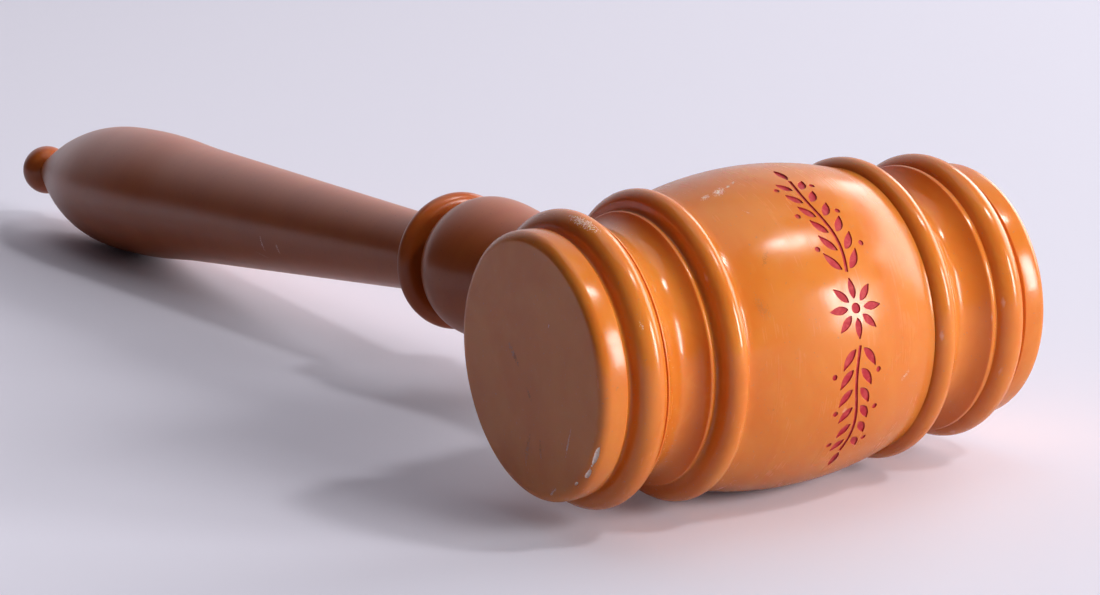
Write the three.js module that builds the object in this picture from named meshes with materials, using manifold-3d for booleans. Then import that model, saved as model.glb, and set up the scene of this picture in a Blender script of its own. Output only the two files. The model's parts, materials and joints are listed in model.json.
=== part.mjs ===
// A ceremonial gavel turned from cast resin, resting on a table. The head lies on its barrel, and the
// handle runs back from it and slopes down until the belly of its grip touches the table.
// Millimetres, +Z up, +X along the head, +Y from the head towards the end of the handle.
import * as THREE from 'three';
import { mergeVertices } from 'three/addons/utils/BufferGeometryUtils.js';
import Module from 'manifold-3d';

const wasm = await Module();
wasm.setup();

// Clearance between two pieces that touch, and the overrun of a cutter past the surface that it opens
const gap = 0.3;
const overrun = 3;

// Head: places run along its axis from the middle of the barrel, the same towards both striking faces
const headLength = 76.2;
const barrelRadius = 23.2;
const barrelEndRadius = 20.95;
const innerBeadAt = 17.75;
const innerBeadRadius = 22.25;
const innerBeadRound = 1.8;
const coveInnerEdgeAt = 21.1;
const coveInnerEdgeRadius = 19.5;
const coveOuterEdgeAt = 27.2;
const coveOuterEdgeRadius = 19.8;
const coveDepth = 1.5;
const outerBeadAt = 30.6;
const outerBeadRadius = 21.1;
const outerBeadRound = 2.3;
const grooveDepth = 0.7;
const capBandWidth = 4;
const capBandInnerRadius = 18.7;
const capRadius = 18.95;
const capEdgeRound = 1.6;

// Joint of handle and head: a flat seat sunk into the barrel, a threaded bush on each side and a stud
const seatDepth = 1.8;
const threadPitch = 1.27;
const threadTurns = 15;
const studRadius = 3.175;
const studChamfer = 0.6;
const bushRadius = 4.75;
const bushEndMargin = 1;

// Bulb: places run along the handle from the head's axis
const footRadius = 7.8;
const footHeight = 3;
const neckAt = 36;
const neckRadius = 6.9;
const bulbAt = 75.3;
const bulbRadius = 11.67;
const bulbRearRun = 10.4;
const socketDepth = 14;

// Collar
const collarAt = 85.7;
const collarRadius = 11.45;
const collarThickness = 3.4;

// Grip
const spigotRadius = 4.4;
const gripStartRadius = 5.95;
const taperEndAt = 183.5;
const taperEndRadius = 10.95;
const bellyAt = 211.3;
const bellyRadius = 12.4;
const tailAt = 257.4;
const tailRadius = 3.1;

// Finial and the pin that holds it
const finialRadius = 5.05;
const pinRadius = 1.2;
const pinHalfLength = 6;
const pinChamfer = 0.3;

// Control points of the smooth stretches, as shares of the stretch's own length or rise
const neckCurveShare = 0.49;
const bulbCurveShare = 0.19;
const footCurveShare = 0.45;
const bellyStartShare = 0.3;
const bellyEndShare = 0.47;
const tailStartShare = 0.27;
const tailEndShare = 0.55;

// Facets round each turned piece, and steps along each round or smooth stretch of an outline
const headFacets = 48;
const handleFacets = 40;
const finialFacets = 32;
const metalFacets = 28;
const barrelSteps = 11;
const beadSteps = 6;
const coveSteps = 5;
const edgeSteps = 3;
const curveSteps = 8;

const resin = { color: 0xd8752c, roughness: 0.28, metalness: 0 };
const brass = { color: 0xb8924a, roughness: 0.35, metalness: 1 };
const steel = { color: 0xa9abad, roughness: 0.3, metalness: 1 };

// An outline is a list of points, each a radius and a place along the axis, from the low end to the high end
function point(radius, at) {
  return new THREE.Vector2(radius, at);
}

// Round stretch of an outline, its angles measured from straight outwards towards the high end
function round(radius, at, radiusSize, axisSize, fromAngle, toAngle, steps) {
  const curve = new THREE.EllipseCurve(radius, at, radiusSize, axisSize, fromAngle, toAngle, toAngle < fromAngle);
  return curve.getPoints(steps);
}

// Smooth stretch of an outline from one point to another, pulled by two control points
function smooth(start, startPull, endPull, end, steps) {
  return new THREE.CubicBezierCurve(start, startPull, endPull, end).getPoints(steps);
}

// Leaves out points that repeat the one before
function tidy(outline) {
  return outline.filter((spot, index) => index === 0 || spot.distanceTo(outline[index - 1]) > Number.EPSILON);
}

// Closed surface with merged corners and no triangle that has shrunk to a line
function closed(geometry) {
  const bare = geometry.clone();
  bare.deleteAttribute('normal');
  bare.deleteAttribute('uv');
  const merged = mergeVertices(bare);
  const corners = merged.getIndex().array;
  const kept = [];
  for (let first = 0; first < corners.length; first += 3) {
    const [a, b, c] = corners.slice(first, first + 3);
    if (a !== b && b !== c && c !== a) {
      kept.push(a, b, c);
    }
  }
  merged.setIndex(kept);
  return merged;
}

// Turned piece about the Y axis, with a facet's edge at the given angle from +Z
function turned(outline, facets, startAngle = 0) {
  return closed(new THREE.LatheGeometry(tidy(outline), facets, startAngle));
}

function toSolid(geometry) {
  return new wasm.Manifold(new wasm.Mesh({
    numProp: 3,
    vertProperties: new Float32Array(geometry.getAttribute('position').array),
    triVerts: new Uint32Array(geometry.getIndex().array),
  }));
}

function toGeometry(solid) {
  const mesh = solid.getMesh();
  const geometry = new THREE.BufferGeometry();
  geometry.setAttribute('position', new THREE.BufferAttribute(new Float32Array(mesh.vertProperties), mesh.numProp));
  geometry.setIndex(Array.from(mesh.triVerts));
  return geometry;
}

// The cross bore's own sizes follow from the barrel, the bush and the stud
const seatAt = barrelRadius - seatDepth;
const threadLength = threadPitch * threadTurns;
const bushLength = threadLength + bushEndMargin;
const footAt = seatAt + gap;

// Half of the head's outline, from the middle of the barrel to the centre of a striking face
function headHalfOutline() {
  const halfLength = headLength / 2;
  const barrelEndAt = innerBeadAt - innerBeadRound;
  const barrelDrop = barrelRadius - barrelEndRadius;
  const crownRadius = (barrelEndAt ** 2 + barrelDrop ** 2) / (2 * barrelDrop);
  const crownAngle = Math.asin(barrelEndAt / crownRadius);
  const middleStep = crownAngle / barrelSteps;
  // The middle step is a flat band at the full radius, on which the head stands
  const crownCentre = barrelRadius - crownRadius * Math.cos(middleStep);
  const innerBeadFoot = innerBeadRadius - innerBeadRound;
  const outerBeadFoot = outerBeadRadius - outerBeadRound;
  const capBandAt = halfLength - capBandWidth;
  const coveMiddle = (coveInnerEdgeAt + coveOuterEdgeAt) / 2;
  const coveEdge = (coveInnerEdgeRadius + coveOuterEdgeRadius) / 2;
  const cove = new THREE.QuadraticBezierCurve(
    point(coveInnerEdgeRadius, coveInnerEdgeAt),
    point(coveEdge - 2 * coveDepth, coveMiddle),
    point(coveOuterEdgeRadius, coveOuterEdgeAt),
  );
  // The bottom of a groove lies halfway between its edges, below the lower of them
  const groove = (radius, at, nextRadius, nextAt) => (
    point(Math.min(radius, nextRadius) - grooveDepth, (at + nextAt) / 2)
  );
  return [
    ...round(crownCentre, 0, crownRadius, crownRadius, middleStep, crownAngle, (barrelSteps - 1) / 2),
    ...round(innerBeadFoot, innerBeadAt, innerBeadRound, innerBeadRound, -Math.PI / 2, Math.PI / 2, beadSteps),
    groove(innerBeadFoot, innerBeadAt + innerBeadRound, coveInnerEdgeRadius, coveInnerEdgeAt),
    ...cove.getPoints(coveSteps),
    groove(coveOuterEdgeRadius, coveOuterEdgeAt, outerBeadFoot, outerBeadAt - outerBeadRound),
    ...round(outerBeadFoot, outerBeadAt, outerBeadRound, outerBeadRound, -Math.PI / 2, Math.PI / 2, beadSteps),
    groove(outerBeadFoot, outerBeadAt + outerBeadRound, capBandInnerRadius, capBandAt),
    point(capBandInnerRadius, capBandAt),
    ...round(capRadius - capEdgeRound, halfLength - capEdgeRound, capEdgeRound, capEdgeRound, 0, Math.PI / 2, edgeSteps),
    point(0, halfLength),
  ];
}

// The head lies along X, with an edge of its facets at the bottom once the gavel is tilted to rest
function makeHead(tilt) {
  const half = headHalfOutline();
  const otherHalf = half.map((spot) => point(spot.x, -spot.y)).reverse();
  const body = turned([...otherHalf, ...half], headFacets).rotateZ(-Math.PI / 2).rotateX(tilt);
  const boreRadius = bushRadius + gap;
  const boreEnd = footAt - gap - bushLength - gap;
  const spotRadius = footRadius + gap;
  const cutter = turned([
    point(0, boreEnd),
    point(boreRadius, boreEnd),
    point(boreRadius, seatAt),
    point(spotRadius, seatAt),
    point(spotRadius, barrelRadius + overrun),
    point(0, barrelRadius + overrun),
  ], handleFacets);
  return toGeometry(toSolid(body).subtract(toSolid(cutter)));
}

// A threaded bush, drawn with a plain bore over the stud
function makeBush(startAt) {
  const boreRadius = studRadius + gap;
  const endAt = startAt + bushLength;
  return turned([
    point(boreRadius, startAt),
    point(bushRadius, startAt),
    point(bushRadius, endAt),
    point(boreRadius, endAt),
    point(boreRadius, startAt),
  ], metalFacets);
}

// A round bar with chamfered ends
function makeBar(radius, chamfer, startAt, endAt) {
  return turned([
    point(0, startAt),
    point(radius - chamfer, startAt),
    point(radius, startAt + chamfer),
    point(radius, endAt - chamfer),
    point(radius - chamfer, endAt),
    point(0, endAt),
  ], metalFacets);
}

// The collar and the faces that its neighbours turn to it
const collarFrontAt = collarAt - collarThickness / 2;
const collarRearAt = collarAt + collarThickness / 2;
const bulbEndAt = collarFrontAt - gap;
const gripStartAt = collarRearAt + gap;
const socketRadius = spigotRadius + gap;
const socketEndAt = bulbEndAt - socketDepth;

function makeBulb() {
  const pocketRadius = bushRadius + gap;
  const pocketEndAt = footAt + gap + bushLength + gap;
  const footTopAt = footAt + footHeight;
  const flare = neckAt - footTopAt;
  const swell = bulbAt - neckAt;
  const rearAngle = Math.asin((bulbEndAt - bulbAt) / bulbRearRun);
  return turned([
    point(0, pocketEndAt),
    point(pocketRadius, pocketEndAt),
    point(pocketRadius, footAt),
    point(footRadius, footAt),
    ...smooth(
      point(footRadius, footTopAt),
      point(footRadius, footTopAt + flare * footCurveShare),
      point(neckRadius, neckAt - flare * footCurveShare),
      point(neckRadius, neckAt),
      edgeSteps,
    ),
    ...smooth(
      point(neckRadius, neckAt),
      point(neckRadius, neckAt + swell * neckCurveShare),
      point(bulbRadius, bulbAt - swell * bulbCurveShare),
      point(bulbRadius, bulbAt),
      curveSteps,
    ),
    ...round(0, bulbAt, bulbRadius, bulbRearRun, 0, rearAngle, beadSteps),
    point(socketRadius, bulbEndAt),
    point(socketRadius, socketEndAt),
    point(0, socketEndAt),
  ], handleFacets);
}

function makeCollar() {
  const rim = collarThickness / 2;
  return turned([
    point(socketRadius, collarFrontAt),
    ...round(collarRadius - rim, collarAt, rim, rim, -Math.PI / 2, Math.PI / 2, beadSteps),
    point(socketRadius, collarRearAt),
    point(socketRadius, collarFrontAt),
  ], handleFacets);
}

// Outside of the grip, from the collar to the tail that carries the finial
function gripOutline() {
  const rise = bellyAt - taperEndAt;
  const slope = (taperEndRadius - gripStartRadius) / (taperEndAt - gripStartAt);
  const run = tailAt - bellyAt;
  return [
    point(gripStartRadius, gripStartAt),
    ...smooth(
      point(taperEndRadius, taperEndAt),
      point(taperEndRadius + rise * bellyStartShare * slope, taperEndAt + rise * bellyStartShare),
      point(bellyRadius, bellyAt - rise * bellyEndShare),
      point(bellyRadius, bellyAt),
      curveSteps,
    ),
    ...smooth(
      point(bellyRadius, bellyAt),
      point(bellyRadius, bellyAt + run * tailStartShare),
      point(bellyRadius, tailAt - run * tailEndShare),
      point(tailRadius, tailAt),
      curveSteps,
    ),
  ];
}

const pinHoleRadius = pinRadius + gap;
const finialStartAt = tailAt + gap;

function makeGrip() {
  const spigotEndAt = socketEndAt + gap;
  const holeEndAt = tailAt - pinHalfLength - gap;
  return turned([
    point(0, spigotEndAt),
    point(spigotRadius, spigotEndAt),
    point(spigotRadius, gripStartAt),
    ...gripOutline(),
    point(pinHoleRadius, tailAt),
    point(pinHoleRadius, holeEndAt),
    point(0, holeEndAt),
  ], handleFacets);
}

// A ball cut flat where it meets the tail of the grip
function makeFinial() {
  const flatAngle = -Math.acos(tailRadius / finialRadius);
  const centreAt = finialStartAt - finialRadius * Math.sin(flatAngle);
  const holeEndAt = finialStartAt + pinHalfLength + gap;
  return turned([
    point(0, holeEndAt),
    point(pinHoleRadius, holeEndAt),
    point(pinHoleRadius, finialStartAt),
    ...round(0, centreAt, finialRadius, finialRadius, flatAngle, Math.PI / 2, curveSteps),
  ], finialFacets);
}

// The slope of the handle at rest: the least turn at which a point of the grip comes as low as the barrel
function restTilt() {
  const turns = gripOutline().map((spot) => (
    Math.asin(barrelRadius / spot.length()) - Math.atan2(spot.x, spot.y)
  ));
  return Math.min(...turns);
}

const tilt = restTilt();
const finialPinStart = tailAt - pinHalfLength;
const finialPinEnd = finialStartAt + pinHalfLength;
const pieces = [
  ['head', makeHead(tilt), resin],
  ['head_bush', makeBush(seatAt - bushLength), brass],
  ['stud', makeBar(studRadius, studChamfer, seatAt - threadLength, seatAt + threadLength), steel],
  ['handle_bush', makeBush(footAt + gap), brass],
  ['bulb', makeBulb(), resin],
  ['collar', makeCollar(), resin],
  ['grip', makeGrip(), resin],
  ['finial', makeFinial(), resin],
  ['finial_pin', makeBar(pinRadius, pinChamfer, finialPinStart, finialPinEnd), steel],
];

const gavel = new THREE.Group();
for (const [name, geometry, finish] of pieces) {
  const mesh = new THREE.Mesh(geometry, new THREE.MeshStandardMaterial(finish));
  mesh.name = name;
  gavel.add(mesh);
}

// Tilted to rest, then stood on the table with the middle of its bounding box over the origin
gavel.rotation.x = -tilt;
gavel.updateMatrixWorld(true);
const box = new THREE.Box3().setFromObject(gavel, true);
const middle = box.getCenter(new THREE.Vector3());
gavel.position.set(-middle.x, -middle.y, -box.min.z);

const object = new THREE.Group();
object.add(gavel);

export default object;
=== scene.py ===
"""Looks of a turned ceremonial gavel: fine turnings, threads, an ornament, finishes, table and lamps."""

import json
import logging
import math
from collections.abc import Callable, Sequence
from dataclasses import dataclass
from enum import Enum
from functools import partial, reduce

import bpy
from mathutils import Euler, Matrix, Quaternion, Vector, noise


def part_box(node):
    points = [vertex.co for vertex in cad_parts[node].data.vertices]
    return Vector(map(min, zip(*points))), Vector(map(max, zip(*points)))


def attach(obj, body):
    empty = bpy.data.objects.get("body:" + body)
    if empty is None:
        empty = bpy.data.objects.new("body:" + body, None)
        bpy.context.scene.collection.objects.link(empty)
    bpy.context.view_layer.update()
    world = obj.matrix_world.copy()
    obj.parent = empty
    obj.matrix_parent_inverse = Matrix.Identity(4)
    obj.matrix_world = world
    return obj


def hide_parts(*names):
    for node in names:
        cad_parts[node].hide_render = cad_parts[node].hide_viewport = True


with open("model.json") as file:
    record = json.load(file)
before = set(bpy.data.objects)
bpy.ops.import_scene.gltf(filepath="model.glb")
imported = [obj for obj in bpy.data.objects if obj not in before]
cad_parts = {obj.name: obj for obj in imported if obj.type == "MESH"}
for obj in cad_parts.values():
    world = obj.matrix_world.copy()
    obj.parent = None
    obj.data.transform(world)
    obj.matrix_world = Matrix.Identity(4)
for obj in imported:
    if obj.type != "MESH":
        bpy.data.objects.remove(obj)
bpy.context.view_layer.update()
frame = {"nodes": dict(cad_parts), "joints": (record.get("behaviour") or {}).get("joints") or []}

LOG = logging.getLogger("gavel")

# Sizes are written in millimetres and meshes are in metres
MM = 0.001
# Bodies of the imported record
HEAD_BODY, STUD_BODY, HANDLE_BODY = "head", "stud", "handle"
# Clearance between pieces that move apart, and the hairline between pieces that are glued
GAP = 0.3
HAIRLINE = 0.02
# Overrun of a cutter past the surface that it opens
OVERRUN = 3.0
# Distance that counts as none
TINY = 0.001

Pair = tuple[float, float]
Spot = Pair
Triple = tuple[float, float, float]
Colour = tuple[int, int, int]
Piece = bpy.types.Object
Socket = bpy.types.NodeSocket
Value = float | Sequence[float] | Socket


def linear(colour: Colour) -> tuple[float, float, float, float]:
    """Turns a screen colour into the linear colour that shaders take.

    Args:
        colour: Red, green and blue from 0 to 255.

    Returns:
        Linear red, green and blue from 0 to 1, and an alpha of 1.
    """
    parts = [part / 255 for part in colour]
    # The usual curve of screen colours, straight near black
    straight = [part / 12.92 if part <= 0.04045 else ((part + 0.055) / 1.055) ** 2.4 for part in parts]
    return (*straight, 1.0)


class Outline:
    """Outline of a turned piece: places along its axis, each with a radius, from its low end upwards."""

    def __init__(self, at: float, radius: float) -> None:
        """Starts the outline at one spot."""
        self.spots: list[Spot] = [(at, radius)]

    def to(self, at: float, radius: float) -> "Outline":
        """Adds a straight stretch to a spot."""
        self.spots.append((at, radius))
        return self

    def extend(self, spots: Sequence[Spot]) -> "Outline":
        """Adds ready spots."""
        self.spots.extend(spots)
        return self

    def round(self, at: float, radius: float, sizes: Pair, angles: Pair, steps: int) -> "Outline":
        """Adds a round stretch.

        Args:
            at: Place of its centre along the axis.
            radius: Radius of its centre.
            sizes: Its half sizes, outwards and along the axis.
            angles: First and last angle in degrees, measured from straight outwards towards the high end.
            steps: Number of steps.

        Returns:
            The outline itself.
        """
        for step in range(steps + 1):
            angle = math.radians(angles[0] + (angles[1] - angles[0]) * step / steps)
            self.to(at + sizes[1] * math.sin(angle), radius + sizes[0] * math.cos(angle))
        return self

    def smooth(self, pulls: Sequence[Spot], end: Spot, steps: int) -> "Outline":
        """Adds a smooth stretch from the last spot.

        Args:
            pulls: Up to two control spots. Without them the stretch is straight.
            end: The last spot of the stretch.
            steps: Number of steps.

        Returns:
            The outline itself.
        """
        corners = [self.spots[-1], *pulls, end]
        degree = len(corners) - 1
        for step in range(1, steps + 1):
            share = step / steps
            weights = [
                math.comb(degree, power) * share**power * (1 - share) ** (degree - power)
                for power in range(degree + 1)
            ]
            self.to(*(sum(w * corner[part] for w, corner in zip(weights, corners)) for part in (0, 1)))
        return self

    def softened(
        self, size: float, least_turn: float = 25.0, most_share: float = 0.4, steps: int = 3
    ) -> "Outline":
        """Rounds the sharp corners, with a support spot beside each so that shading stays crisp.

        Args:
            size: Length of edge that a rounded corner takes on each side.
            least_turn: Corners that turn by less than this many degrees stay as they are.
            most_share: Largest share of an edge that a rounded corner takes.
            steps: Number of steps round each corner.

        Returns:
            A new outline.
        """
        kept = [self.spots[0]]
        for spot in self.spots[1:]:
            if math.dist(spot, kept[-1]) > TINY:
                kept.append(spot)
        soft = Outline(*kept[0])
        for before, corner, after in zip(kept, kept[1:], kept[2:]):
            run_in, run_out = math.dist(before, corner), math.dist(corner, after)
            heading_in = math.atan2(corner[1] - before[1], corner[0] - before[0])
            heading_out = math.atan2(after[1] - corner[1], after[0] - corner[0])
            turn = math.degrees(abs(math.remainder(heading_out - heading_in, math.tau)))
            if turn < least_turn:
                soft.to(*corner)
                continue
            cut = min(size, most_share * run_in, most_share * run_out)

            def beside(spot: Spot, run: float, reach: float) -> Spot:
                """Spot at a distance from the corner towards another spot."""
                return tuple(c + (s - c) * reach / run for c, s in zip(corner, spot))

            if run_in > 3 * cut:
                soft.to(*beside(before, run_in, 2 * cut))
            soft.to(*beside(before, run_in, cut))
            soft.smooth([corner], beside(after, run_out, cut), steps)
            if run_out > 3 * cut:
                soft.to(*beside(after, run_out, 2 * cut))
        return soft.to(*kept[-1])


@dataclass(frozen=True)
class Placement:
    """Where the axis of a turned piece lies.

    Args:
        origin: Place 0 of its outlines, in metres.
        axis: Direction of the high end.
    """

    origin: Vector
    axis: Vector

    def basis(self) -> Matrix:
        """Works out the directions of the piece.

        Returns:
            Rotation whose columns are the side, the top and the axis.
        """
        up = Vector((0, 0, 1))
        up = (up - self.axis * up.dot(self.axis)).normalized()
        side = up.cross(self.axis)
        return Matrix((side, up, self.axis)).transposed()

    def matrix(self) -> Matrix:
        """Matrix from millimetres round the axis to the frame."""
        return Matrix.Translation(self.origin) @ self.basis().to_4x4() @ Matrix.Scale(MM, 4)


def around(at: float, degrees: float, radius: float) -> Vector:
    """Point round an axis.

    Args:
        at: Place along the axis.
        degrees: Angle from the top, towards the side.
        radius: Distance from the axis.

    Returns:
        The point as side, top and axis distances in millimetres.
    """
    angle = math.radians(degrees)
    return Vector((radius * math.sin(angle), radius * math.cos(angle), at))


# Both axes pass through the place of the joint that the handle screws on
SCREW = frame["joints"][0]
HEAD_PLACE = Placement(Vector(SCREW["pos_m"]), Vector((1, 0, 0)))
HANDLE_PLACE = Placement(Vector(SCREW["pos_m"]), Vector(SCREW["axis"]).normalized())


def make_mesh(
    name: str, place: Placement, corners: Sequence[Vector], faces: Sequence[Sequence[int]]
) -> Piece:
    """Makes an object from corners given in millimetres round an axis.

    Args:
        name: Name of the object.
        place: The axis.
        corners: Corners as side, top and axis distances.
        faces: Corner numbers of each face.

    Returns:
        The object, linked to the scene, with its place in its mesh.
    """
    mesh = bpy.data.meshes.new(name)
    mesh.from_pydata([tuple(corner) for corner in corners], [], [tuple(face) for face in faces])
    mesh.transform(place.matrix())
    mesh.update()
    made = bpy.data.objects.new(name, mesh)
    bpy.context.scene.collection.objects.link(made)
    return made


def quads(corner: Callable[[int, int], int], rows: int, sides: int) -> list[list[int]]:
    """Makes the faces of a grid of corners.

    Args:
        corner: Number of a corner, for its row and its place round the row.
        rows: Number of rows of faces.
        sides: Number of faces in a row.

    Returns:
        The faces, each without the corners that fall together.
    """
    faces = [
        [corner(row, side), corner(row + 1, side), corner(row + 1, side + 1), corner(row, side + 1)]
        for row in range(rows)
        for side in range(sides)
    ]
    return [list(dict.fromkeys(face)) for face in faces]


@dataclass(frozen=True)
class Turning:
    """A piece turned from an outline.

    Args:
        place: Its axis.
        outline: Its outline, from the low end to the high end with the material towards the axis.
        facets: Number of facets round it.
        closed: Whether the outline is a ring round a bore, its last spot the same as its first.
        ripple: Change of radius for a place along the axis and a facet number, as on a knurl.
    """

    place: Placement
    outline: Outline
    facets: int
    closed: bool = False
    ripple: Callable[[float, int], float] | None = None

    def make(self, name: str) -> Piece:
        """Makes the turned object.

        Args:
            name: Name of the object.

        Returns:
            The object.
        """
        spots = self.outline.spots[:-1] if self.closed else self.outline.spots
        corners: list[Vector] = []
        rings: list[list[int]] = []
        for at, radius in spots:
            if radius < TINY:
                rings.append([len(corners)] * self.facets)
                corners.append(Vector((0, 0, at)))
                continue
            rings.append(list(range(len(corners), len(corners) + self.facets)))
            for facet in range(self.facets):
                change = self.ripple(at, facet) if self.ripple else 0.0
                corners.append(around(at, 360 * facet / self.facets, radius + change))
        if self.closed:
            rings.append(rings[0])
        faces = quads(lambda row, facet: rings[row][facet % self.facets], len(rings) - 1, self.facets)
        return make_mesh(name, self.place, corners, faces)


@dataclass(frozen=True)
class Thread:
    """Helical thread about the handle's axis, its phase fixed to the axis so that mating threads agree.

    Args:
        pitch: Rise of one turn.
        crest: Outer radius.
        depth: Depth of the thread.
        facets: Number of facets round it.
    """

    pitch: float
    crest: float
    depth: float
    facets: int = 48

    def rod(self, name: str, start: float, end: float) -> Piece:
        """Makes a closed threaded rod that reaches past both places.

        Args:
            name: Name of the object.
            start: Place that it starts below.
            end: Place that it ends above.

        Returns:
            The rod.
        """
        root = self.crest - self.depth
        # Shares of a turn at the corners of the profile: root, rising flank, crest and falling flank
        profile = [(0.0, root), (0.25, root), (0.5625, self.crest), (0.6875, self.crest)]
        first = math.floor(start / self.pitch) - 2
        last = math.ceil(end / self.pitch) + 1
        rows = [(turn + share, radius) for turn in range(first, last + 1) for share, radius in profile]
        corners = [
            around((turn + facet / self.facets) * self.pitch, 360 * facet / self.facets, radius)
            for turn, radius in rows
            for facet in range(self.facets)
        ]

        def corner(row: int, facet: int) -> int:
            """Number of a corner; past a whole turn the helix goes on one pitch up."""
            laps, facet = divmod(facet, self.facets)
            return (row + laps * len(profile)) * self.facets + facet

        whole = len(rows) - len(profile)
        faces = quads(corner, whole - 1, self.facets)
        for row, far, turned in ((0, first - 1, False), (whole - 1, last + 2, True)):
            rim = [corner(row, facet) for facet in range(self.facets)]
            rim += [corner(row + step, 0) for step in range(len(profile), 0, -1)]
            middle = len(corners)
            corners.append(Vector((0, 0, far * self.pitch)))
            for here, there in zip(rim, rim[1:] + rim[:1]):
                faces.append([middle, there, here] if turned else [middle, here, there])
        return make_mesh(name, HANDLE_PLACE, corners, faces)


def combine(base: Piece, cutter: Piece, operation: str = "DIFFERENCE") -> None:
    """Cuts an object with another, keeps the cutter's material on the cut and removes the cutter.

    Args:
        base: The object that is cut.
        cutter: The closed cutter.
        operation: Kind of cut, as Blender names it.
    """
    step = base.modifiers.new("cut", "BOOLEAN")
    step.operation = operation
    step.solver = "MANIFOLD"
    step.material_mode = "TRANSFER"
    step.object = cutter
    bpy.context.view_layer.update()
    evaluated = base.evaluated_get(bpy.context.evaluated_depsgraph_get())
    cut = bpy.data.meshes.new_from_object(evaluated)
    cut.name = base.name
    base.modifiers.clear()
    base.data = cut
    bpy.data.objects.remove(cutter)


def shade(made: Piece, sharp_degrees: float = 30.0) -> None:
    """Shades an object smoothly between its sharp edges."""
    made.data.shade_smooth()
    made.data.set_sharp_from_angle(angle=math.radians(sharp_degrees))


def dress(made: Piece, material: bpy.types.Material) -> None:
    """Gives an object one material in place of any that it has."""
    made.data.materials.clear()
    made.data.materials.append(material)


def mount(made: Piece, body: str, node: str) -> None:
    """Shades a piece, lets it ride on its body and stand for its node of the frame, and reports it.

    Args:
        made: The finished piece.
        body: Name of the body.
        node: The node that it replaces.
    """
    shade(made)
    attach(made, body)
    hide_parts(node)
    rows = zip(*(made.matrix_world @ vertex.co for vertex in made.data.vertices))
    gaps = [max(abs(min(row) - low), abs(max(row) - high)) for row, low, high in zip(rows, *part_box(node))]
    faces = len(made.data.polygons)
    LOG.info("%s: %d faces, box within %.2f mm of the frame's", made.name, faces, max(gaps) / MM)


class Nodes:
    """Adds nodes to a shader tree."""

    def __init__(self, tree: bpy.types.NodeTree) -> None:
        """Takes the tree."""
        self.tree = tree

    def put(self, value: Value, socket: Socket) -> None:
        """Links a socket to another, or gives it a plain value.

        Args:
            value: The other socket, or the value.
            socket: The input socket.
        """
        if isinstance(value, Socket):
            self.tree.links.new(value, socket)
        else:
            socket.default_value = value

    def fill(self, made: bpy.types.Node, **values: Value) -> None:
        """Gives a node's inputs their values, by socket names with lines for spaces."""
        for name, value in values.items():
            self.put(value, made.inputs[name.replace("_", " ")])

    def node(self, kind: str, *values: Value, **settings: object) -> bpy.types.Node:
        """Adds a node.

        Args:
            kind: Its kind, as Blender names it.
            values: Values of its first inputs, in their order.
            settings: Its settings by name.

        Returns:
            The node.
        """
        made = self.tree.nodes.new(kind)
        for name, value in settings.items():
            setattr(made, name, value)
        for value, socket in zip(values, made.inputs):
            self.put(value, socket)
        return made

    def math(self, operation: str, *terms: Value) -> Socket:
        """Works out a number from one or two others."""
        return self.node("ShaderNodeMath", *terms, operation=operation).outputs[0]

    def chain(self, operation: str, *terms: Value) -> Socket:
        """Works out a number from any number of others, two at a time."""
        return reduce(partial(self.math, operation), terms)

    def times(self, value: Value, factor: Value) -> Socket:
        """Multiplies two numbers."""
        return self.math("MULTIPLY", value, factor)

    def vector(self, operation: str, *terms: Value) -> bpy.types.Node:
        """Works out a vector, or a measure of it, from one or two others."""
        return self.node("ShaderNodeVectorMath", *terms, operation=operation)

    def seen_from(self, vector: Value, origin: Vector, turn: Euler, sizes: Triple) -> Socket:
        """Coordinates as seen from an origin, a turn and the sizes that count as 1."""
        made = self.node("ShaderNodeMapping", vector, origin, turn, sizes, vector_type="TEXTURE")
        return made.outputs["Vector"]

    def noise(
        self, vector: Value, stretch: Triple, detail: float = 2.0, rough: float = 0.5, bend: float = 0.0
    ) -> Socket:
        """Cloudy noise about 0.5.

        Args:
            vector: Coordinates in millimetres.
            stretch: Number of clouds per millimetre along side, top and axis.
            detail: Number of finer layers.
            rough: Strength of each finer layer.
            bend: How far the clouds are bent.

        Returns:
            The noise value.
        """
        made = self.node("ShaderNodeTexNoise")
        self.fill(made, Vector=self.vector("MULTIPLY", vector, stretch).outputs["Vector"], Scale=1.0)
        self.fill(made, Detail=detail, Roughness=rough, Distortion=bend)
        return made.outputs["Fac"]

    def span(self, value: Value, low: float, high: float, ends: Pair = (0, 1)) -> Socket:
        """Maps a value from one range to another, smoothly and within its ends."""
        made = self.node("ShaderNodeMapRange", value, low, high, *ends, interpolation_type="SMOOTHSTEP")
        return made.outputs["Result"]

    def blend(self, share: Value, below: Value, above: Value) -> Socket:
        """Mixes two colours.

        Args:
            share: Share of the second colour.
            below: First colour.
            above: Second colour.

        Returns:
            The mixed colour.
        """
        made = self.node("ShaderNodeMix", share, data_type="RGBA", clamp_factor=True)
        first, second = (socket for socket in made.inputs if socket.type == "RGBA")
        self.put(below, first)
        self.put(above, second)
        return next(socket for socket in made.outputs if socket.type == "RGBA")


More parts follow.
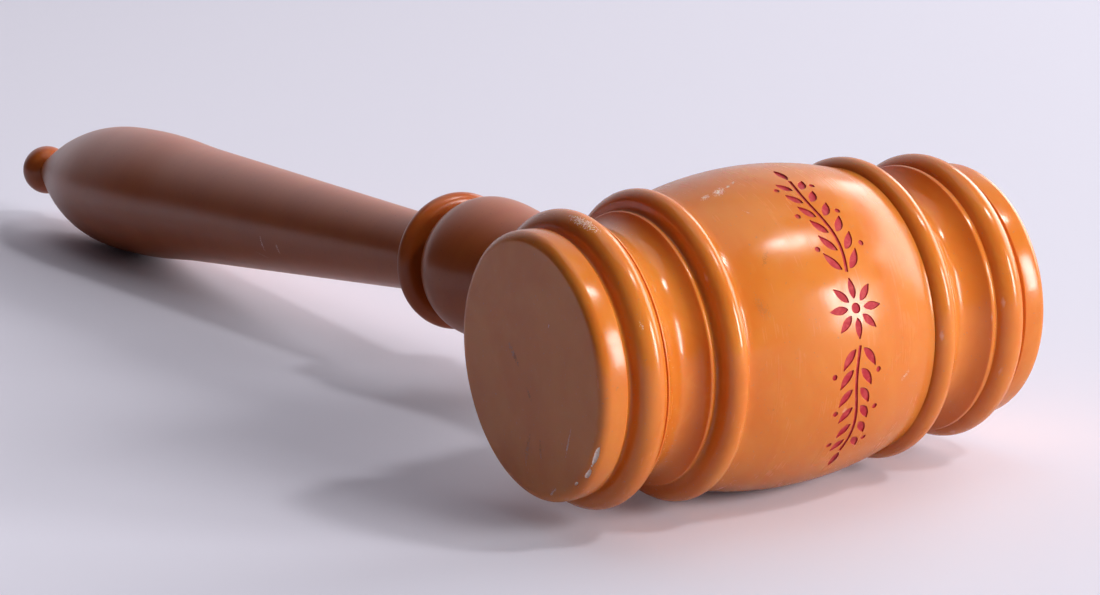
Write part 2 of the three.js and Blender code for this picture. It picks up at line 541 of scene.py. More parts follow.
class Recipe(Nodes):
    """Builds one material around its Principled shader."""

    def __init__(self, name: str) -> None:
        """Starts the material.

        Args:
            name: Its name.
        """
        self.material = bpy.data.materials.new(name)
        self.material.use_nodes = True
        super().__init__(self.material.node_tree)
        self.shader = self.tree.nodes["Principled BSDF"]

    def set(self, **values: Value) -> None:
        """Gives the shader its values, by socket names with lines for spaces."""
        self.fill(self.shader, **values)

    def place(self, place: Placement) -> Socket:
        """Coordinates in millimetres round the axis of a placement: side, top and axis."""
        where = self.node("ShaderNodeTexCoord").outputs["Object"]
        return self.seen_from(where, place.origin, place.basis().to_euler(), (MM, MM, MM))

    def bump(self, height: Value, distance: float) -> None:
        """Adds relief to the shader.

        Args:
            height: Height of the relief.
            distance: Millimetres of relief that a height of 1 stands for.
        """
        relief = self.node("ShaderNodeBump")
        self.fill(relief, Strength=1.0, Distance=distance * MM, Height=height)
        self.set(Normal=relief.outputs["Normal"])

    def edges(self, low: float, high: float) -> Socket:
        """Share by which the surface is a raised edge, or a groove where high is below low."""
        return self.span(self.node("ShaderNodeNewGeometry").outputs["Pointiness"], low, high)


class Wear(Enum):
    """Kinds of wear mark."""

    SCUFF = "pale and rough, broken up"
    SCRATCH = "thin, pale and shiny"
    SPOT = "dark and dull"


@dataclass(frozen=True)
class Mark:
    """One mark of wear.

    Args:
        kind: Its kind.
        start: First end, as a place along the axis, an angle in degrees and a radius.
        end: Other end, given in the same way.
        width: Its width.
        strength: How far it shows, from 0 to 1.
    """

    kind: Wear
    start: Triple
    end: Triple
    width: float
    strength: float = 1.0

    def mask(self, recipe: Recipe, where: Socket, broken: Socket) -> Socket:
        """Share by which a point lies in the mark.

        Args:
            recipe: The material.
            where: Coordinates in millimetres round the axis.
            broken: Fine noise that breaks the mark's edge.

        Returns:
            The share, from 0 to the mark's strength.
        """
        first, last = around(*self.start), around(*self.end)
        way = last - first
        sizes = (self.width / 2, self.width / 2, (way.length + self.width) / 2)
        inside = recipe.seen_from(where, (first + last) / 2, way.to_track_quat("Z", "Y").to_euler(), sizes)
        reach = recipe.vector("LENGTH", inside).outputs["Value"]
        reach = recipe.math("ADD", reach, recipe.span(broken, 0.35, 0.65, (-0.3, 0.9)))
        return recipe.span(reach, 1.1, 0.6, (0, self.strength))


@dataclass(frozen=True)
class CastResin:
    """Polished cast resin with faint clouds, turning lines, dust, scratches, worn edges, and painted shade
    darkening its grooves.

    Args:
        body: Main colour.
        deep: Colour of the deeper clouds; half of it is the colour of dust and dark spots and of the painted
            shade in grooves.
        pale: Colour of the paler clouds.
        worn: Colour of worn edges and scuffs.
        gloss: Roughness where the polish is best.
        dull: Added roughness where it is handled most.
        dull_reach: Half length of the duller stretch about place 0.
        dull_fade: Length over which the duller stretch fades out.
        glow: Share of light that passes below the surface.
        glow_depth: How deep that light passes.
        lathe: Strength of the turning lines and of the fine unevenness of the polish.
    """

    body: Colour = (215, 127, 50)
    deep: Colour = (208, 114, 39)
    pale: Colour = (220, 136, 66)
    worn: Colour = (240, 212, 198)
    gloss: float = 0.16
    dull: float = 0.03
    dull_reach: float = 15.0
    dull_fade: float = 0.6
    glow: float = 0.5
    glow_depth: float = 1.2
    lathe: float = 0.8

    def material(self, name: str, place: Placement, marks: Sequence[Mark] = ()) -> bpy.types.Material:
        """Makes the resin for one piece.

        Args:
            name: Name of the material.
            place: Axis of the piece, which the turning lines run round.
            marks: Its own marks of wear.

        Returns:
            The material.
        """
        recipe = Recipe(name)
        where = recipe.place(place)
        cloud = recipe.noise(where, (0.05, 0.05, 0.08), 3.0, 0.55, 1.2)
        mottle = recipe.noise(where, (0.3, 0.3, 0.45), 4.0, 0.6, 0.6)
        lines = recipe.noise(where, (0.03, 0.03, 4.0), 2.0, 0.55)
        smudge = recipe.noise(where, (0.16, 0.16, 0.3), 2.5, 0.55, 0.4)
        grain = recipe.noise(where, (5.0, 5.0, 5.0), 1.0, 0.5)
        dust = recipe.span(recipe.noise(where, (2.6, 2.6, 2.6), 1.0, 0.5), 0.70, 0.76)
        edge_wear = recipe.times(recipe.edges(0.56, 0.68), recipe.span(smudge, 0.45, 0.62))
        # Half the deep colour: the tint of dust and dark spots, and also the painted shade in grooves
        dust_and_shade = tuple(part // 2 for part in self.deep)
        colour = recipe.blend(recipe.span(cloud, 0.3, 0.7), linear(self.deep), linear(self.body))
        for share, tint in (
            (recipe.span(mottle, 0.5, 0.8, (0, 0.35)), self.pale),
            (recipe.span(lines, 0.55, 0.8, (0, 0.12 * self.lathe)), self.deep),
            # Painted shade: grooves, found by low pointiness, are darkened where shade falls in them
            (recipe.times(recipe.edges(0.47, 0.40), 0.5), dust_and_shade),
            (recipe.times(edge_wear, 0.35), self.worn),
            (recipe.times(dust, 0.35), dust_and_shade),
        ):
            colour = recipe.blend(share, colour, linear(tint))
        middle = recipe.math("ABSOLUTE", recipe.node("ShaderNodeSeparateXYZ", where).outputs["Z"])
        polish = (self.gloss - 0.04 * self.lathe, self.gloss + 0.11 * self.lathe)
        rough = recipe.chain(
            "ADD",
            recipe.span(smudge, 0.3, 0.75, polish),
            recipe.span(middle, self.dull_reach + self.dull_fade, self.dull_reach, (0, self.dull)),
            recipe.span(lines, 0.45, 0.75, (0, 0.06 * self.lathe)),
            recipe.times(dust, 0.3 * self.lathe),
        )
        shares = ((lines, 0.3), (grain, 0.12), (smudge, 0.5))
        height = recipe.chain("ADD", *(recipe.times(part, share * self.lathe) for part, share in shares))
        for kind, tint, roughening, sink in (
            (Wear.SCUFF, self.worn, 0.35, -3.0),
            (Wear.SCRATCH, self.worn, 0.15, -4.0),
            (Wear.SPOT, dust_and_shade, 0.2, -1.0),
        ):
            masks = [mark.mask(recipe, where, grain) for mark in marks if mark.kind is kind]
            if masks:
                covered = recipe.chain("MAXIMUM", *masks)
                colour = recipe.blend(covered, colour, linear(tint))
                rough = recipe.math("ADD", rough, recipe.times(covered, roughening))
                height = recipe.math("ADD", height, recipe.times(covered, sink))
        recipe.bump(height, 0.004)
        recipe.set(
            Base_Color=colour, Roughness=rough, IOR=1.54, Subsurface_Weight=self.glow,
            Subsurface_Radius=(1.0, 0.35, 0.1), Subsurface_Scale=self.glow_depth * MM,
        )
        return recipe.material


@dataclass(frozen=True)
class EngravingPaint:
    """Old red paint in the engraving, thinner in places."""

    colour: Colour = (172, 40, 52)
    thin: Colour = (190, 72, 72)
    roughness: float = 0.55

    def material(self, name: str, place: Placement) -> bpy.types.Material:
        """Makes the paint for one piece.

        Args:
            name: Name of the material.
            place: Axis of the piece.

        Returns:
            The material.
        """
        recipe = Recipe(name)
        where = recipe.place(place)
        patches = recipe.noise(where, (0.9, 0.9, 0.9), 3.0, 0.6, 0.5)
        specks = recipe.noise(where, (7.0, 7.0, 7.0), 2.0, 0.6)
        colour = recipe.blend(recipe.span(patches, 0.42, 0.68), linear(self.colour), linear(self.thin))
        rough = recipe.span(specks, 0.3, 0.7, (self.roughness - 0.1, self.roughness + 0.12))
        recipe.bump(specks, 0.03)
        recipe.set(Base_Color=colour, Roughness=rough, IOR=1.5, Specular_IOR_Level=0.25)
        return recipe.material


@dataclass(frozen=True)
class ChippedResin:
    """Raw pale resin where a chip has broken out."""

    colour: Colour = (248, 230, 222)
    stain: Colour = (214, 164, 140)

    def material(self, name: str, place: Placement) -> bpy.types.Material:
        """Makes the raw resin for one piece.

        Args:
            name: Name of the material.
            place: Axis of the piece.

        Returns:
            The material.
        """
        recipe = Recipe(name)
        where = recipe.place(place)
        flakes = recipe.noise(where, (2.2, 2.2, 2.2), 4.0, 0.65, 0.8)
        colour = recipe.blend(recipe.span(flakes, 0.45, 0.7), linear(self.colour), linear(self.stain))
        recipe.bump(flakes, 0.12)
        recipe.set(Base_Color=colour, Roughness=recipe.span(flakes, 0.3, 0.7, (0.5, 0.75)), IOR=1.54)
        return recipe.material


@dataclass(frozen=True)
class TurnedMetal:
    """Turned metal with tool lines, a thin tarnish and bright edges.

    Args:
        bright: Colour of clean metal.
        tarnish: Colour of tarnished metal.
        roughness: Roughness of clean metal.
    """

    bright: Colour
    tarnish: Colour
    roughness: float

    def material(self, name: str, place: Placement) -> bpy.types.Material:
        """Makes the metal for one piece.

        Args:
            name: Name of the material.
            place: Axis of the piece, which the tool lines run round.

        Returns:
            The material.
        """
        recipe = Recipe(name)
        where = recipe.place(place)
        lines = recipe.noise(where, (0.1, 0.1, 9.0), 3.0, 0.6)
        patches = recipe.noise(where, (0.35, 0.35, 0.35), 4.0, 0.6, 0.8)
        dulled = recipe.times(recipe.span(patches, 0.42, 0.7), recipe.edges(0.6, 0.5))
        colour = recipe.blend(dulled, linear(self.bright), linear(self.tarnish))
        tooled = recipe.span(lines, 0.3, 0.7, (self.roughness - 0.05, self.roughness + 0.1))
        rough = recipe.math("ADD", tooled, recipe.times(dulled, 0.18))
        recipe.bump(lines, 0.01)
        recipe.set(Base_Color=colour, Roughness=rough, Metallic=1.0)
        return recipe.material


BRASS = TurnedMetal((214, 180, 108), (150, 112, 58), 0.24)
STEEL = TurnedMetal((196, 198, 200), (128, 124, 120), 0.28)


# One cut of the ornament: the place along the axis, distance round the barrel and half width of its sections
Stroke = list[Triple]


@dataclass(frozen=True)
class Ornament:
    """Engraved spray: an eight-petalled rosette with a leafy stem running both ways round the barrel.

    Args:
        at: Place of the rosette along the axis.
        degrees: Angle of the rosette round the barrel.
        depth: Depth of the cuts.
        lean: How much narrower a cut is at its bottom, on each side.
        petal_count: Number of petals.
        petal_reach: Inner and outer end of a petal from the middle.
        petal_width: Half width of a petal.
        eye: Radius of the eye of the rosette.
        stem_reach: First and last distance of a stem from the middle.
        stem_width: Half width of the stem.
        stem_sway: How far the stem sways from a straight line.
        leaf_pairs: Pairs of leaves on each stem.
        leaf_length: Length of a leaf.
        leaf_width: Half width of a leaf.
        leaf_lean: Angle of a leaf to the stem in degrees.
        leaf_curl: How far a leaf turns on its way, in degrees.
        leaf_gap: Distance between a stem and the foot of a leaf.
        leaf_shrink: Share by which each pair of leaves is smaller than the one before.
        first_leaf_share: Share of the leaves' spacing that lies before the first pair.
        tip_gap: Distance between the end of a stem and its last leaf.
        berry: Radius of a berry between the leaves.
        berry_reach: Distance of a berry from the stem, and how far it is shifted along it.
        least_width: Least half width of a leaf's ends and of the bottom of a cut.
    """

    at: float = 1.2
    degrees: float = -74.0
    depth: float = 0.2
    lean: float = 0.08
    petal_count: int = 8
    petal_reach: Pair = (1.35, 4.3)
    petal_width: float = 0.6
    eye: float = 0.75
    stem_reach: Pair = (5.2, 22.6)
    stem_width: float = 0.26
    stem_sway: float = 0.55
    leaf_pairs: int = 6
    leaf_length: float = 3.5
    leaf_width: float = 0.62
    leaf_lean: float = 48.0
    leaf_curl: float = 25.0
    leaf_gap: float = 0.42
    leaf_shrink: float = 0.05
    first_leaf_share: float = 0.15
    tip_gap: float = 0.4
    berry: float = 0.42
    berry_reach: Pair = (3.7, 0.6)
    least_width: Pair = (0.05, 0.03)

    def leaf(self, base: Spot, heading: float, length: float, width: float, curl: float = 0.0) -> Stroke:
        """A pointed leaf.

        Args:
            base: Its foot, along the axis and round the barrel.
            heading: Its direction in degrees, from the axis towards the top.
            length: Its length.
            width: Its half width.
            curl: How far it turns on its way, in degrees.

        Returns:
            The leaf as a stroke.
        """
        steps = 10
        spots = []
        along, turn = base
        for step in range(steps + 1):
            share = step / steps
            # Widest a little before its middle, with full sides
            half = width * math.sin(math.pi * share**0.85) ** 0.8
            spots.append((along, turn, max(self.least_width[0], half)))
            angle = math.radians(heading + curl * share)
            along += math.cos(angle) * length / steps
            turn += math.sin(angle) * length / steps
        return spots

    def dot(self, middle: Spot, radius: float) -> Stroke:
        """A round dot, whose width follows a circle.

        Args:
            middle: Its middle, along the axis and round the barrel.
            radius: Its radius.

        Returns:
            The dot as a stroke.
        """
        steps = 8
        at, turn = middle
        # The first and last sections stand a little inside the circle, so that they have a width
        angles = [math.pi * (0.06 + 0.88 * step / steps) for step in range(steps + 1)]
        return [(at, turn - radius * math.cos(angle), radius * math.sin(angle)) for angle in angles]

    def stem(self, way: int) -> list[Stroke]:
        """A stem with its leaves and berries.

        Args:
            way: 1 for the stem that runs towards larger angles, -1 for the other.

        Returns:
            Its cuts.
        """
        first, last = self.stem_reach
        steps = 40

        def sway(reach: float) -> float:
            """Place of the stem along the axis at a distance from the middle."""
            return self.stem_sway * math.sin(math.tau * (reach - first) / (last - first)) * way

        reaches = [first + (last - first) * step / steps for step in range(steps + 1)]
        made = [[(sway(reach), way * reach, self.stem_width) for reach in reaches]]
        for pair in range(self.leaf_pairs):
            reach = first + (last - first) / self.leaf_pairs * (pair + self.first_leaf_share)
            size = 1 - self.leaf_shrink * pair
            out, shift = self.berry_reach
            for side in (1, -1):
                foot = (sway(reach) + side * (self.stem_width + self.leaf_gap), way * reach)
                heading, curl = way * (90 - side * self.leaf_lean), side * way * self.leaf_curl
                made.append(self.leaf(foot, heading, self.leaf_length * size, self.leaf_width, curl))
                if pair % 2:
                    berry_at = (sway(reach) + side * (self.stem_width + out * size), way * (reach + shift))
                    made.append(self.dot(berry_at, self.berry))
        tip = (sway(last), way * (last + self.tip_gap))
        return [*made, self.leaf(tip, 90 * way, self.leaf_length, self.leaf_width)]

    def strokes(self) -> list[Stroke]:
        """All the cuts, about the middle of the rosette.

        Returns:
            The cuts.
        """
        made = [self.dot((0, 0), self.eye)]
        inner, outer = self.petal_reach
        for petal in range(self.petal_count):
            heading = 360 * petal / self.petal_count + 90
            angle = math.radians(heading)
            foot = (inner * math.cos(angle), inner * math.sin(angle))
            made.append(self.leaf(foot, heading, outer - inner, self.petal_width))
        return made + self.stem(1) + self.stem(-1)

    def cutter(self, surface: Callable[[float], float], radius: float) -> Piece:
        """Makes the closed cutter for all the strokes.

        Args:
            surface: Radius of the barrel at a place along the axis.
            radius: Radius that distances round the barrel are measured on.

        Returns:
            The cutter.
        """
        corners: list[Vector] = []
        faces: list[list[int]] = []
        for stroke in self.strokes():
            first, count = len(corners), len(stroke)
            for number, (along, turn, half) in enumerate(stroke):
                here, there = stroke[max(number - 1, 0)], stroke[min(number + 1, count - 1)]
                way = Vector((there[0] - here[0], there[1] - here[1])).normalized()
                top, bottom = half + self.lean, max(self.least_width[1], half - self.lean)
                for side, lift, width in (
                    (-1, self.depth, top),
                    (1, self.depth, top),
                    (1, -self.depth, bottom),
                    (-1, -self.depth, bottom),
                ):
                    place = along - side * way.y * width, turn + side * way.x * width
                    at = self.at + place[0]
                    degrees = self.degrees + math.degrees(place[1] / radius)
                    corners.append(around(at, degrees, surface(at) + lift))
            for number in range(count - 1):
                low, high = first + 4 * number, first + 4 * number + 4
                faces += [[high + a, high + (a + 1) % 4, low + (a + 1) % 4, low + a] for a in range(4)]
            faces += [[first + a for a in range(4)], [first + 4 * count - 1 - a for a in range(4)]]
        return make_mesh("ornament_cutter", HEAD_PLACE, corners, faces)


@dataclass(frozen=True)
class Chip:
    """A small flake broken out of an edge.

    Args:
        at: Place along the axis.
        degrees: Angle round the axis.
        radius: Distance from the axis.
        sizes: Half sizes round the axis, outwards and along it.
    """

    at: float
    degrees: float
    radius: float
    sizes: Triple

    def add_to(self, corners: list[Vector], faces: list[list[int]]) -> None:
        """Adds the flake's rough ball to a cutter.

        Args:
            corners: Corners of the cutter, added to.
            faces: Faces of the cutter, added to.
        """
        belts, sides = 7, 14
        first = len(corners)
        outwards = around(0, self.degrees, 1)
        onwards = Vector((outwards.y, -outwards.x, 0))
        middle = around(self.at, self.degrees, self.radius)
        for belt in range(belts + 1):
            tip = math.pi * belt / belts
            for side in range(sides if 0 < belt < belts else 1):
                turn = math.tau * side / sides
                ring = math.sin(tip)
                ball = Vector((math.cos(tip), ring * math.cos(turn), ring * math.sin(turn)))
                ball *= 1 + 0.35 * noise.noise(ball * 1.7 + middle)
                across, out, along = (part * size for part, size in zip(ball, self.sizes))
                corners.append(middle + onwards * across + outwards * out + Vector((0, 0, along)))
        last = len(corners) - 1

        def corner(belt: int, side: int) -> int:
            """Number of a corner of the ball, which has one corner at each tip."""
            return min(max(first, first + 1 + (belt - 1) * sides + side % sides), last)

        faces += quads(corner, belts, sides)


@dataclass
class CrossJoint:
    """Sizes of the screw joint between head and handle, along the handle from the head's axis."""

    seat_at: float = 21.4
    bush_radius: float = 4.75
    stud_radius: float = 3.175
    stud_chamfer: float = 0.6
    pitch: float = 1.27
    turns: int = 15
    thread_depth: float = 0.72
    thread_play: float = 0.08
    bush_margin: float = 1.0
    bush_chamfer: float = 0.45
    mouth_overrun: float = 1.0
    knurl_depth: float = 0.2
    knurl_facets: int = 96
    knurl_margin: float = 1.2
    knurl_spacing: float = 9.4
    knurl_width: float = 7.7
    knurl_bevel: float = 0.3
    waist_width: float = 1.3

    @property
    def bush_length(self) -> float:
        """Length of a bush."""
        return self.pitch * self.turns + self.bush_margin

    @property
    def foot_at(self) -> float:
        """Place of the handle's foot."""
        return self.seat_at + GAP

    def build_stud(self) -> None:
        """Makes the double-ended threaded stud."""
        reach = self.pitch * self.turns
        start, end = self.seat_at - reach, self.seat_at + reach
        edge = self.stud_radius - self.stud_chamfer
        bar = Outline(start, 0).to(start, edge).to(start + self.stud_chamfer, self.stud_radius)
        bar.to(end - self.stud_chamfer, self.stud_radius).to(end, edge).to(end, 0)
        stud = Thread(self.pitch, self.stud_radius, self.thread_depth).rod("threaded_stud", start, end)
        combine(stud, Turning(HANDLE_PLACE, bar, self.knurl_facets).make("stud_blank"), "INTERSECT")
        dress(stud, STEEL.material("stud_steel", HANDLE_PLACE))
        mount(stud, STUD_BODY, "stud")

    def build_bush(self, name: str, node: str, body: str, start: float) -> None:
        """Makes one threaded and knurled bush.

        Args:
            name: Name of the piece.
            node: The node that it replaces.
            body: Body that it rides on.
            start: Place of its low end.
        """
        radius, end = self.bush_radius, start + self.bush_length
        edge, waist = radius - self.bush_chamfer, radius - 2 * self.knurl_depth
        outline = Outline(start, 0).to(start, edge).to(start + self.bush_chamfer, radius)
        knurled: set[float] = set()
        for band in range(2):
            low = start + self.knurl_margin + band * self.knurl_spacing
            high = low + self.knurl_width
            first, last = low + self.knurl_bevel, high - self.knurl_bevel
            knurled |= {first, last}
            outline.to(low, radius).to(first, radius).to(last, radius)
            if band == 0:
                outline.to(high, waist).to(high + self.waist_width, waist)
            else:
                outline.to(high, radius)
        outline.to(end - self.bush_chamfer, radius).to(end, edge).to(end, 0)

        def knurl(at: float, facet: int) -> float:
            """Straight knurl on the two bands between the smooth ends and the waist."""
            return -self.knurl_depth if at in knurled and facet % 2 else 0.0

        bush = Turning(HANDLE_PLACE, outline, self.knurl_facets, ripple=knurl).make(name)
        tap = Thread(self.pitch, self.stud_radius + self.thread_play, self.thread_depth)
        combine(bush, tap.rod("tap", start, end))
        mouth, over = self.stud_radius + self.bush_chamfer, self.mouth_overrun
        for cone in (
            Outline(start - over, 0).to(start - over, mouth + over).to(start + mouth, 0),
            Outline(end - mouth, 0).to(end + over, mouth + over).to(end + over, 0),
        ):
            combine(bush, Turning(HANDLE_PLACE, cone, self.knurl_facets).make("countersink"))
        dress(bush, BRASS.material(f"{name}_brass", HANDLE_PLACE))
        mount(bush, body, node)

    def build(self) -> None:
        """Makes the stud and both bushes."""
        self.build_stud()
        self.build_bush("threaded_head_bush", "head_bush", HEAD_BODY, self.seat_at - self.bush_length)
        self.build_bush("threaded_handle_bush", "handle_bush", HANDLE_BODY, self.foot_at + GAP)


@dataclass
class Head:
    """The head: a barrel between two beads, a cove and a cap on each side, with an engraved spray."""

    joint: CrossJoint
    facets: int = 192
    bore_facets: int = 128
    barrel_radius: float = 23.2
    barrel_end_radius: float = 20.95
    barrel_end_at: float = 15.4
    land_width: float = 0.55
    inner_bead: Triple = (17.75, 22.25, 1.8)
    outer_bead: Triple = (30.6, 21.1, 2.3)
    cove_inner: Spot = (21.1, 19.5)
    cove_outer_right: Spot = (27.2, 19.8)
    cove_outer_left: Spot = (28.0, 19.8)
    cove_depth: float = 2.3
    cove_bend: Spot = (1.0, 2.2)
    arris_step: float = 0.05
    arris_pull: float = 0.1
    crease_depth: float = 0.7
    crease_pull: float = 0.3
    least_line: float = 0.05
    line_depth: float = 0.4
    line_shift: float = 0.04
    line_turn: float = -76.0
    valley_depth: float = 1.0
    valley_pull: float = 0.5
    cap_band: Spot = (34.1, 18.86)
    cap_radius: float = 18.95
    cap_crown: float = 0.06
    cap_round: Pair = (1.6, 1.5)
    face_ring: float = 0.4
    corner: float = 0.12
    seat_radius: float = 8.1
    ornament: Ornament = Ornament()
    finish: CastResin = CastResin()

    def __post_init__(self) -> None:
        """Takes the length from the frame."""
        low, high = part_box("head")
        self.half_length = (high.x - low.x) / 2 / MM

    def barrel_at(self, at: float) -> float:
        """Works out the crown of the barrel.

        Args:
            at: Place along the axis.

        Returns:
            Radius of the barrel there.
        """
        drop = self.barrel_radius - self.barrel_end_radius
        crown = (self.barrel_end_at**2 + drop**2) / (2 * drop)
        return self.barrel_radius - crown + math.sqrt(crown**2 - at**2)

    def half(self, cove_outer: Spot) -> list[Spot]:
        """Half of the outline, from the middle to the centre of a striking face.

        Args:
            cove_outer: Outer edge of the cove on this side.

        Returns:
            Its spots.
        """
        steps = 22
        ends = [self.barrel_end_at * step / steps for step in range(1, steps + 1)]
        half = Outline(0, self.barrel_radius).extend([(at, self.barrel_at(at)) for at in ends])
        bead_at, bead_top, size = self.inner_bead
        foot = bead_top - size
        half.to(bead_at - size - TINY, self.barrel_end_radius)
        half.round(bead_at, foot, (size, size), (-90, 90), 26)
        inner_at, inner_radius = self.cove_inner
        land, edge = inner_at - self.land_width, inner_radius - self.arris_step
        valley = inner_radius - self.crease_depth
        half.smooth([(bead_at + size, valley), (land - self.crease_pull, valley)], (land, edge), 10)
        half.smooth([(land + self.arris_pull, inner_radius)], ((land + inner_at) / 2, inner_radius), 4)
        half.to(inner_at, edge)
        outer_at, outer_radius = cove_outer
        pulls = (inner_radius + outer_radius) / 2 - 4 / 3 * self.cove_depth
        lip = (outer_at, outer_radius - self.arris_step)
        half.smooth([(inner_at + self.cove_bend[0], pulls), (outer_at - self.cove_bend[1], pulls)], lip, 22)
        bead_at, bead_top, size = self.outer_bead
        land = min(outer_at + self.land_width, bead_at - size - self.least_line)
        half.to(land, outer_radius)
        half.to((land + bead_at - size) / 2 + self.line_shift, outer_radius - self.line_depth)
        half.round(bead_at, bead_top - size, (size, size), (self.line_turn, 90), 28)
        band_at, band_radius = self.cap_band
        edge_at = self.half_length - self.cap_round[1]
        valley = band_radius - self.valley_depth
        half.smooth([(bead_at + size, valley), (band_at - self.valley_pull, valley)], self.cap_band, 14)
        crown = self.cap_radius + self.cap_crown
        half.smooth([((band_at + edge_at) / 2, crown)], (edge_at, self.cap_radius), 8)
        flat_radius = self.cap_radius - self.cap_round[0]
        half.round(edge_at, flat_radius, self.cap_round, (0, 90), 14)
        return half.to(self.half_length, flat_radius - self.face_ring).to(self.half_length, 0).spots

    def outline(self) -> Outline:
        """Draws the whole outline, from the left striking face to the right one.

        Returns:
            The outline.
        """
        left = [(-at, radius) for at, radius in reversed(self.half(self.cove_outer_left))]
        right = self.half(self.cove_outer_right)
        return Outline(*left[0]).extend(left[1:] + right[1:]).softened(self.corner)

    def bore(self) -> Piece:
        """Makes the cutter for the blind bore of the bush and the flat seat of the handle.

        Returns:
            The cutter.
        """
        seat = self.joint.seat_at
        end = seat - self.joint.bush_length - GAP
        narrow = self.joint.bush_radius + HAIRLINE
        outline = Outline(end, 0).to(end, narrow).to(seat, narrow).to(seat, self.seat_radius)
        outline.to(self.barrel_radius + OVERRUN, self.seat_radius).to(self.barrel_radius + OVERRUN, 0)
        return Turning(HANDLE_PLACE, outline, self.bore_facets).make("bore_cutter")

    def chips(self) -> list[Chip]:
        """Lists the flakes broken out of the cap's edges.

        Returns:
            The flakes.
        """
        return [
            Chip(-37.82, -119.8, 18.48, (1.75, 0.34, 0.42)),
            Chip(-37.88, -131.0, 18.4, (1.15, 0.3, 0.42)),
            Chip(-37.9, -125.8, 18.42, (0.35, 0.18, 0.18)),
            Chip(-38.0, -141.5, 17.9, (0.5, 0.2, 0.18)),
            Chip(37.3, -141.0, 18.75, (0.9, 0.35, 0.5)),
            Chip(37.7, 62.0, 18.5, (0.8, 0.3, 0.35)),
        ]

    def marks(self) -> list[Mark]:
        """Lists the marks of wear on the barrel, the beads and the striking faces.

        Returns:
            The marks.
        """
        barrel, near, face = 23.0, 21.0, -self.half_length
        return [
            Mark(Wear.SCUFF, (-12.2, -14.8, 21.8), (-11.5, -14.1, 21.9), 0.8),
            Mark(Wear.SCUFF, (-9.9, -14.8, 22.3), (-9.2, -13.2, 22.4), 1.4),
            Mark(Wear.SCRATCH, (-6.7, -11.4, 22.7), (-6.1, -10.6, 22.8), 0.4),
            Mark(Wear.SCRATCH, (-7.8, -12.8, 22.6), (-7.5, -12.4, 22.6), 0.5),
            Mark(Wear.SCRATCH, (-9.1, -28.5, 22.4), (-8.4, -31.5, 22.5), 0.18, 0.4),
            Mark(Wear.SPOT, (-13.2, -66.0, 21.7), (-12.6, -70.0, 21.8), 1.6, 0.25),
            Mark(Wear.SPOT, (-10.6, -52.0, 22.1), (-9.6, -48.0, 22.2), 0.8, 0.3),
            Mark(Wear.SCUFF, (9.5, -103.0, 22.2), (10.3, -101.0, 22.1), 0.6, 0.6),
            Mark(Wear.SCUFF, (-31.8, -7.0, near), (-31.3, -20.0, near), 1.5, 0.85),
            Mark(Wear.SCRATCH, (-31.9, -64.8, 20.9), (-31.8, -67.2, 20.9), 0.5, 0.8),
            Mark(Wear.SCUFF, (26.2, -94.5, 19.3), (26.9, -97.5, 19.6), 0.35, 0.7),
            Mark(Wear.SCUFF, (5.5, 118.0, barrel), (8.5, 124.0, barrel), 0.9, 0.7),
            Mark(Wear.SCUFF, (31.2, 40.0, near), (31.6, 55.0, near), 1.2, 0.8),
            Mark(Wear.SCRATCH, (face, -124.0, 12.3), (face, -140.0, 13.7), 0.34, 0.75),
            Mark(Wear.SCRATCH, (face, -39.0, 8.7), (face, -39.0, 9.2), 0.3, 0.5),
            Mark(Wear.SPOT, (face, 66.0, 5.4), (face, 86.0, 3.2), 0.9, 0.55),
            Mark(Wear.SPOT, (face, 166.0, 3.2), (face, -178.0, 4.4), 0.6, 0.5),
            Mark(Wear.SPOT, (face, 176.0, 9.5), (face, 172.0, 14.0), 0.8, 0.4),
            Mark(Wear.SPOT, (face, -168.0, 10.0), (face, -170.0, 12.4), 0.6, 0.4),
            Mark(Wear.SCUFF, (face, -161.0, 17.1), (face, -165.0, 17.6), 0.5, 0.8),
            Mark(Wear.SCRATCH, (-face, 42.0, 10.8), (-face, 57.0, 12.6), 0.3, 0.6),
            Mark(Wear.SPOT, (-face, -68.0, 6.2), (-face, -94.0, 4.4), 0.9, 0.5),
            Mark(Wear.SPOT, (-face, 151.0, 8.0), (-face, 158.0, 11.5), 0.7, 0.4),
            Mark(Wear.SCUFF, (-face, -142.0, 16.6), (-face, -146.0, 17.0), 0.6, 0.7),
        ]

    def build(self) -> None:
        """Makes the head, cuts its bore, ornament and chips, and dresses it."""
        head = Turning(HEAD_PLACE, self.outline(), self.facets).make("gavel_head")
        resin = self.finish.material("head_resin", HEAD_PLACE, self.marks())
        dress(head, resin)
        corners: list[Vector] = []
        faces: list[list[int]] = []
        for chip in self.chips():
            chip.add_to(corners, faces)
        for cutter, material in (
            (self.bore(), resin),
            (
                self.ornament.cutter(self.barrel_at, self.barrel_radius),
                EngravingPaint().material("engraving_red", HEAD_PLACE),
            ),
            (
                make_mesh("chip_cutter", HEAD_PLACE, corners, faces),
                ChippedResin().material("chipped_resin", HEAD_PLACE),
            ),
        ):
            dress(cutter, material)
            combine(head, cutter)
        mount(head, HEAD_BODY, "head")


